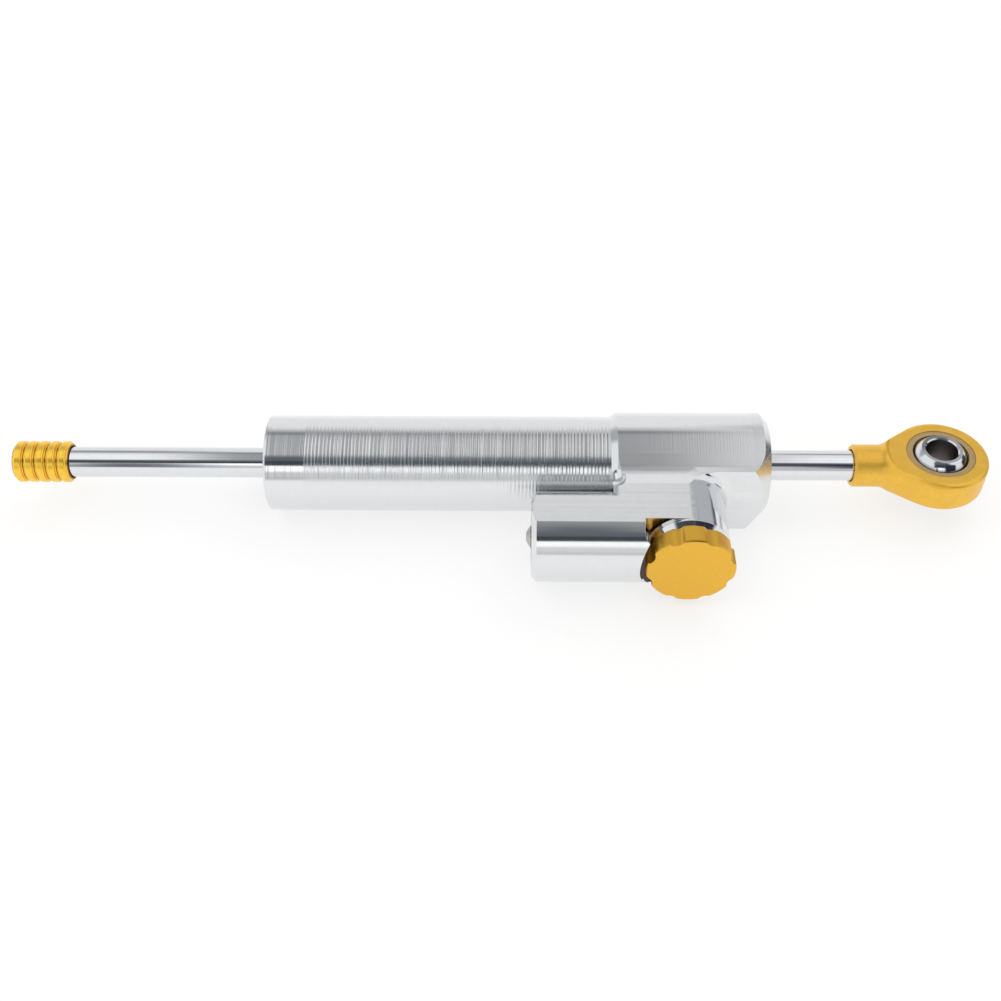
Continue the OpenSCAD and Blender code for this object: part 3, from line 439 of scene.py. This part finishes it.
def polishedBody(place, x, y, z):
    f = bodyFinish
    around = length(y, z)
    onTube = near(around, f["tubeR"], f["skin"])
    onTube = onTube * fade(x, f["tubeEnd"] + f["tubeBlend"], f["tubeEnd"] - f["tubeBlend"])
    onBlock = near(around, f["blockR"], f["skin"]) * fade(x, f["blockStart"], f["blockFull"])
    onChamber = near(length(y - f["chamberY"], z), f["chamberR"], f["skin"])
    onFlat = near(abs(z), f["flat"], f["flatSkin"]) * (1 - onTube) * (1 - onBlock)
    onEnd = fade(x, f["endStart"], f["endFull"])
    # The feed marks are one long helix, so they step by one pitch for each turn round the tube.
    helix = x + y.maths("ARCTAN2", z, y) * (f["ridgePitch"] / (2 * math.pi))
    phase = helix * (2 * math.pi / f["ridgePitch"]) + lineNoise(helix, f["wanderPitch"]) * f["wander"]
    swell = lineNoise(helix + f["swellShift"], f["swellPitch"]) * f["swellSpan"] + f["swellLow"]
    ridges = phase.maths("SINE", phase) * swell * (f["ridgeHeight"] / 2)
    torn = lineNoise(helix, f["scatterPitch"], f["scatterDetail"]) * f["scatterHeight"]
    coarse = onTube * fade(x, f["ridgeStart"] - f["ridgeBlend"], f["ridgeStart"] + f["ridgeBlend"])
    fine = lineNoise(helix, f["finePitch"], detail=2.0)
    fineHeight = onTube * f["fineOnTube"] + onBlock * f["fineOnBlock"] + onChamber * f["fineOnChamber"]
    milled = onFlat * lineNoise(y + x * f["flatSlant"], f["flatPitch"], detail=3.0)
    height = coarse * (ridges + torn) + fine * fineHeight + milled * f["flatHeight"]
    haze = grain(place, f["hazeSize"])
    tone = mixTone(haze, f["tone"], tuple(part * f["hazeDepth"] for part in f["tone"]))
    # Painted shade: a dark brown patch over the lower part of the knob's pocket, fading out toward the
    # top.
    pocketShade = near(y, f["pocketY"], f["pocketSkin"]) * fade(z, f["pocketShadeTop"], f["pocketShadeFull"])
    pocketShade = pocketShade * fade(length(x - f["knobX"], z), f["pocketShadeInner"], f["pocketShadeOuter"])
    tone = mixTone(pocketShade * f["pocketShadeCover"], tone, f["pocketShadeTone"])
    roughness = haze * f["hazeRoughness"] + f["roughness"] + milled * f["flatRoughness"]
    roughness = roughness + coarse * f["ridgeRoughness"] + onBlock * f["blockRoughness"]
    roughness = roughness + onEnd * f["endRoughness"] + pocketShade * f["pocketShadeRoughness"]
    return tone, 1.0, roughness, height


# The rod end's satin gold. Lengths in mm.
goldFinish = {
    "tone": (0.91, 0.56, 0.085),
    "deepTone": (0.82, 0.46, 0.055),
    "metallic": 0.7,
    "speckSize": 0.22,
    "speckHeight": 0.006,
    "speckShare": 0.7,  # of the pattern that mixes the tones, beside the clouds
    "cloudSize": 3.5,
    "patternLow": 0.38,
    "patternHigh": 0.62,
    "roughness": 0.32,
    "cloudRoughness": 0.08,
}


def satinGold(place, x, y, z):
    f = goldFinish
    speck = grain(place, f["speckSize"])
    cloud = grain(place, f["cloudSize"])
    pattern = speck * f["speckShare"] + cloud * (1 - f["speckShare"])
    tone = mixTone(fade(pattern, f["patternHigh"], f["patternLow"]), f["tone"], f["deepTone"])
    return tone, f["metallic"], cloud * f["cloudRoughness"] + f["roughness"], speck * f["speckHeight"]


# The knob is turned before it is anodised, so its face has fine rings about its own axis. Lengths in mm.
knobFinish = {
    "tone": (0.83, 0.475, 0.066),
    "deepTone": (0.82, 0.46, 0.055),
    "speckSize": 0.3,
    "speckShare": 0.2,
    "speckHeight": 0.003,
    "ringPitch": 0.35,
    "ringShare": 0.15,
    "ringHeight": 0.0012,
    "roughness": 0.24,
    "speckRoughness": 0.06,
    "sideRoughness": 0.12,  # added on the notched side
    "sideInner": 9.6,
    "sideOuter": 10.0,
    "sideFront": -37.4,
    "sideFull": -37.2,
}


def knobGold(place, x, y, z):
    f = knobFinish
    around = length(x - bodyFinish["knobX"], z)
    rings = lineNoise(around, f["ringPitch"], detail=2.0)
    speck = grain(place, f["speckSize"])
    onSide = fade(around, f["sideInner"], f["sideOuter"]) * fade(y, f["sideFront"], f["sideFull"])
    tone = mixTone(speck * f["speckShare"] + rings * f["ringShare"], f["tone"], f["deepTone"])
    roughness = speck * f["speckRoughness"] + f["roughness"] + onSide * f["sideRoughness"]
    return tone, 1.0, roughness, rings * f["ringHeight"] + speck * f["speckHeight"]


# The end collar is bright gold, with painted shade as a dark line along the foot of each groove. Lengths
# in mm.
collarFinish = {
    "tone": (1.0, 0.64, 0.08),
    "deepTone": (0.95, 0.56, 0.055),
    # Painted shade along the foot of each groove: its tone, width and place.
    "grooveShadeTone": (0.30, 0.12, 0.012),
    "start": -102.2,  # the collar's free end
    "pitch": 2.94,  # from groove to groove
    "footWidth": 0.2,
    "footCore": 0.1,
    "footR": 5.15,
    "footBlend": 0.1,
    "edge": 0.08,
    "metallic": 0.75,
    "markPitch": 0.25,
    "markHeight": 0.003,
    "cloudSize": 1.1,
    "cloudHeight": 0.003,
    "cloudShare": 0.6,  # of the pattern that mixes the tones, beside the marks
    "patternLow": 0.36,
    "patternHigh": 0.62,
    "roughness": 0.21,
    "cloudRoughness": 0.06,
}


def collarGold(place, x, y, z):
    f = collarFinish
    marks = lineNoise(x, f["markPitch"], detail=2.0)
    cloud = grain(place, f["cloudSize"])
    pattern = cloud * f["cloudShare"] + marks * (1 - f["cloudShare"])
    tone = mixTone(fade(pattern, f["patternHigh"], f["patternLow"]), f["tone"], f["deepTone"])
    ring = (x - f["start"]) / f["pitch"]
    apart = abs(ring - ring.maths("ROUND", ring)) * f["pitch"]
    inGroove = fade(length(y, z), f["footR"] + f["footBlend"], f["footR"] - f["footBlend"])
    # Painted shade: a dark line along the foot of each groove.
    tone = mixTone(fade(apart, f["footWidth"], f["footCore"]) * inGroove, tone, f["grooveShadeTone"])
    roughness = cloud * f["cloudRoughness"] + f["roughness"]
    return tone, f["metallic"], roughness, marks * f["markHeight"] + cloud * f["cloudHeight"]


# The rod's hard chrome. Lengths in mm.
chromeFinish = {
    "tone": (0.80, 0.81, 0.83),
    "hazeTone": (0.74, 0.76, 0.79),
    "hazeSize": 2.0,
    "streakPitch": 0.3,
    "streakHeight": 0.0008,
    "roughness": 0.04,
    "hazeRoughness": 0.04,
    "streakRoughness": 0.03,
}


def groundChrome(place, x, y, z):
    f = chromeFinish
    streak = lineNoise(x, f["streakPitch"], detail=2.0)
    haze = grain(place, f["hazeSize"])
    tone = mixTone(haze, f["tone"], f["hazeTone"])
    roughness = haze * f["hazeRoughness"] + f["roughness"] + streak * f["streakRoughness"]
    return tone, 1.0, roughness, streak * f["streakHeight"]


# The eye's ball. Lengths in mm, radii from the eye's axis.
ballFinish = {
    "eyeX": 140.8,
    "tone": (0.80, 0.81, 0.83),
    "deepTone": (0.70, 0.71, 0.74),
    "hazeSize": 1.2,
    "hazeHeight": 0.0004,
    "roughness": 0.02,
    "hazeRoughness": 0.05,
    "paintedReflectionTone": (0.16, 0.14, 0.17),  # painted reflection, dark low on the ball, standing in for its own race mirrored there
    "shadeInner": 6.2,
    "shadeOuter": 6.8,
    "shadeCover": 0.85,
    # The next five values place the painted reflection on the side away from the shank.
    "sideAngle": 1.35,  # radians from the front, toward the side away from the shank
    "sideWidth": 0.75,
    "sideInner": 5.5,
    "sideOuter": 6.0,
    "sideCover": 0.75,
    "topReflectionTone": (0.42, 0.42, 0.44),  # painted reflection: the back of the ground flat round the bore is darker
    "topZ": 5.9,
    "topBlend": 0.05,
    "topSlant": 0.6,
    "topStart": 1.0,
    "topFull": 4.0,
    "boreShadeTone": (0.11, 0.095, 0.09),  # painted shade inside the bore
    "boreR": 4.05,
    "boreBlend": 0.06,
    "boreCover": 0.95,
    "boreRoughness": 0.3,
}


def mirrorChrome(place, x, y, z):
    f = ballFinish
    across = x - f["eyeX"]
    around = length(across, y)
    haze = grain(place, f["hazeSize"])
    tone = mixTone(haze, f["tone"], f["deepTone"])
    # Painted reflection: the ball's rim is darkened as if it mirrored its own race.
    rimReflection = fade(around, f["shadeInner"], f["shadeOuter"])
    tone = mixTone(rimReflection * f["shadeCover"], tone, f["paintedReflectionTone"])
    # Painted reflection: the side away from the shank is darkened as if it mirrored more of the race.
    turned = across.maths("ARCTAN2", across, 0 - y)
    onSide = near(turned, f["sideAngle"], f["sideWidth"]) * fade(around, f["sideInner"], f["sideOuter"])
    tone = mixTone(onSide * f["sideCover"], tone, f["paintedReflectionTone"])
    # Painted reflection: the ground flat round the bore is darker toward the back.
    onTop = fade(z, f["topZ"], f["topZ"] + f["topBlend"])
    toBack = fade(y - across * f["topSlant"], f["topStart"], f["topFull"])
    tone = mixTone(onTop * toBack, tone, f["topReflectionTone"])
    # Painted shade darkens the inside of the bore.
    inBore = fade(around, f["boreR"] + f["boreBlend"], f["boreR"])
    tone = mixTone(inBore * f["boreCover"], tone, f["boreShadeTone"])
    roughness = haze * f["hazeRoughness"] + f["roughness"] + inBore * f["boreRoughness"]
    return tone, 1.0, roughness, haze * f["hazeHeight"]


# The race pressed into the eye. Lengths in mm, radii from the eye's axis.
raceFinish = {
    "tone": (0.50, 0.33, 0.14),
    "paleTone": (0.78, 0.57, 0.29),
    "seamTone": (0.20, 0.11, 0.04),  # the seam between race and eye
    "seamR": 8.6,
    "seamBlend": 0.12,
    "ringPitch": 0.25,
    "ringHeight": 0.004,
    "cloudSize": 0.9,
    "cloudShare": 0.6,  # of the pattern that mixes the tones, beside the rings
    "roughness": 0.30,
    "ringRoughness": 0.15,
}


def warmRace(place, x, y, z):
    f = raceFinish
    around = length(x - ballFinish["eyeX"], y)
    rings = lineNoise(around, f["ringPitch"], detail=2.0)
    cloud = grain(place, f["cloudSize"])
    pattern = cloud * f["cloudShare"] + rings * (1 - f["cloudShare"])
    tone = mixTone(pattern, f["tone"], f["paleTone"])
    tone = mixTone(fade(around, f["seamR"], f["seamR"] + f["seamBlend"]), tone, f["seamTone"])
    return tone, 1.0, rings * f["ringRoughness"] + f["roughness"], rings * f["ringHeight"]


# The left gland, the sleeve, the pistons and the chamber plug. Lengths in mm.
aluminiumFinish = {
    "tone": (0.74, 0.75, 0.77),
    "cloudTone": (0.66, 0.67, 0.69),
    "cloudSize": 1.5,
    "markPitch": 0.4,
    "markHeight": 0.004,
    "roughness": 0.2,
    "markRoughness": 0.1,
}


def turnedAluminium(place, x, y, z):
    f = aluminiumFinish
    marks = lineNoise(x, f["markPitch"], detail=2.0)
    tone = mixTone(grain(place, f["cloudSize"]), f["tone"], f["cloudTone"])
    return tone, 1.0, marks * f["markRoughness"] + f["roughness"], marks * f["markHeight"]


# Clips, screws, springs, click ball, spindle and valve gland. Lengths in mm.
steelFinish = {
    "tone": (0.56, 0.57, 0.60),
    "cloudTone": (0.42, 0.43, 0.46),
    "cloudSize": 0.8,
    "cloudHeight": 0.003,
    "roughness": 0.2,
    "cloudRoughness": 0.15,
}


def platedSteel(place, x, y, z):
    f = steelFinish
    cloud = grain(place, f["cloudSize"])
    tone = mixTone(cloud, f["tone"], f["cloudTone"])
    return tone, 1.0, cloud * f["cloudRoughness"] + f["roughness"], cloud * f["cloudHeight"]


# Sintered bronze with dark pores. Lengths in mm.
bronzeFinish = {
    "poreTone": (0.22, 0.14, 0.06),
    "tone": (0.62, 0.43, 0.20),
    "metallic": 0.9,
    "poreSize": 0.18,
    "poreLow": 0.40,
    "poreHigh": 0.46,
    "poreHeight": 0.004,
    "poreRoughness": 0.5,
    "polish": 0.15,  # how much smoother it is between the pores
}


def bushBronze(place, x, y, z):
    f = bronzeFinish
    solid = fade(grain(place, f["poreSize"]), f["poreLow"], f["poreHigh"])
    tone = mixTone(solid, f["poreTone"], f["tone"])
    return tone, f["metallic"], f["poreRoughness"] - solid * f["polish"], solid * f["poreHeight"]


# The seals, wipers and rings. Lengths in mm.
rubberFinish = {
    "tone": (0.018, 0.018, 0.020),
    "cloudTone": (0.045, 0.045, 0.048),
    "cloudSize": 0.3,
    "cloudHeight": 0.006,
    "roughness": 0.45,
    "cloudRoughness": 0.2,
}


def mouldedRubber(place, x, y, z):
    f = rubberFinish
    cloud = grain(place, f["cloudSize"])
    tone = mixTone(cloud, f["tone"], f["cloudTone"])
    return tone, 0.0, cloud * f["cloudRoughness"] + f["roughness"], cloud * f["cloudHeight"]


# The piston band and the slip liner, a plastic filled with bronze specks. Lengths in mm.
plasticFinish = {
    "tone": (0.16, 0.13, 0.09),
    "speckTone": (0.32, 0.25, 0.15),
    "speckSize": 0.12,
    "speckLow": 0.52,
    "speckHigh": 0.60,
    "speckHeight": 0.003,
    "roughness": 0.45,
    "speckPolish": 0.15,  # how much smoother the specks are
}


def slipPlastic(place, x, y, z):
    f = plasticFinish
    specks = fade(grain(place, f["speckSize"]), f["speckLow"], f["speckHigh"])
    tone = mixTone(specks, f["tone"], f["speckTone"])
    return tone, 0.0, f["roughness"] - specks * f["speckPolish"], specks * f["speckHeight"]


# Which finish each of the record's material slots gets. Knob and collar have gold of their own.
recipes = {
    "polished_body": polishedBody,
    "machined_aluminium": turnedAluminium,
    "rod_chrome": groundChrome,
    "gold_anodised": satinGold,
    "race_steel": warmRace,
    "ball_chrome": mirrorChrome,
    "small_steel": platedSteel,
    "bush_bronze": bushBronze,
    "seal_rubber": mouldedRubber,
    "slip_plastic": slipPlastic,
}
finishes = {slot: makeMaterial(slot + "_finish", recipe) for slot, recipe in recipes.items()}
ownFinishes = {
    "adjuster_knob": makeMaterial("knob_gold_finish", knobGold),
    "end_collar": makeMaterial("collar_gold_finish", collarGold, collarFinish["edge"]),
}
for part in frame["record"]["subparts"]:
    dress(ownFinishes.get(part["node"], finishes[part["material_slot"]]), part["node"])
print("finishes made:", len(finishes) + len(ownFinishes))

# The two coil springs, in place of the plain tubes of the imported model. Lengths in mm.
reserveCoil = {
    "name": "reserve_coil",
    "start": (40.2, -26.3, 0.0),  # middle of the end that rests on the chamber plug
    "along": (1, 0, 0),
    "span": 9.6,
    "meanR": 4.7,
    "wireR": 0.5,
    "turns": 6.0,
    "node": "reserve_spring",
}
clickCoil = {
    "name": "click_coil",
    "start": (72.9, -26.5, 7.4),  # middle of the end at the bottom of the click pocket
    "along": (0, -1, 0),
    "span": 3.25,
    "meanR": 0.8,
    "wireR": 0.2,
    "turns": 5.0,
    "node": "click_spring",
}
coilMesh = {
    "rings": 360,  # along the wire
    "sides": 14,  # round the wire
    "levelTurns": 0.9,  # at each end
    "inset": 1.02,  # from each end to the wire's middle line, in wire radii
}


def makeCoil(coil):
    # A wire round a helix. Its middle line goes round the axis at meanR while it climbs from one end to
    # the other, and lies level over the first and last levelTurns. Round each point of that line the
    # wire's skin is a circle of wireR: its cosine goes outward from the axis, its sine along the axis.
    # Flat lids close the two ends.
    rings, sides, levelTurns = coilMesh["rings"], coilMesh["sides"], coilMesh["levelTurns"]
    t = np.linspace(0, 1, rings)[:, None]
    b = np.linspace(0, 2 * np.pi, sides, endpoint=False)[None, :]
    turned = 2 * np.pi * coil["turns"] * t
    climb = np.clip((t * coil["turns"] - levelTurns) / (coil["turns"] - 2 * levelTurns), 0, 1)
    inset = coil["wireR"] * coilMesh["inset"]
    height = inset + climb * (coil["span"] - 2 * inset) + coil["wireR"] * np.sin(b)
    out = coil["meanR"] + coil["wireR"] * np.cos(b)
    along = np.array(coil["along"], float)
    first = np.array((0.0, 0.0, 1.0))
    second = np.cross(along, first)
    ray = np.cos(turned)[..., None] * first + np.sin(turned)[..., None] * second
    points = np.array(coil["start"]) + height[..., None] * along + out[..., None] * ray
    points = points.reshape(-1, 3) * mm
    i, j = np.meshgrid(np.arange(rings - 1), np.arange(sides), indexing="ij")
    i, j = i.ravel(), j.ravel()
    after = (j + 1) % sides
    corners = [i * sides + j, (i + 1) * sides + j, (i + 1) * sides + after, i * sides + after]
    quads = np.stack(corners, axis=1)
    lids = [list(range(sides)), [(rings - 1) * sides + k for k in reversed(range(sides))]]
    mesh = bpy.data.meshes.new(coil["name"])
    mesh.from_pydata(points.tolist(), [], quads.tolist() + lids)
    mesh.shade_smooth()
    mesh.materials.append(finishes["small_steel"])
    piece = bpy.data.objects.new(coil["name"], mesh)
    bpy.context.scene.collection.objects.link(piece)
    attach(piece, "cylinder")
    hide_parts(coil["node"])
    return piece


reserveSpring = makeCoil(reserveCoil)
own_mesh(reserveSpring)
makeCoil(clickCoil)
print("springs wound")
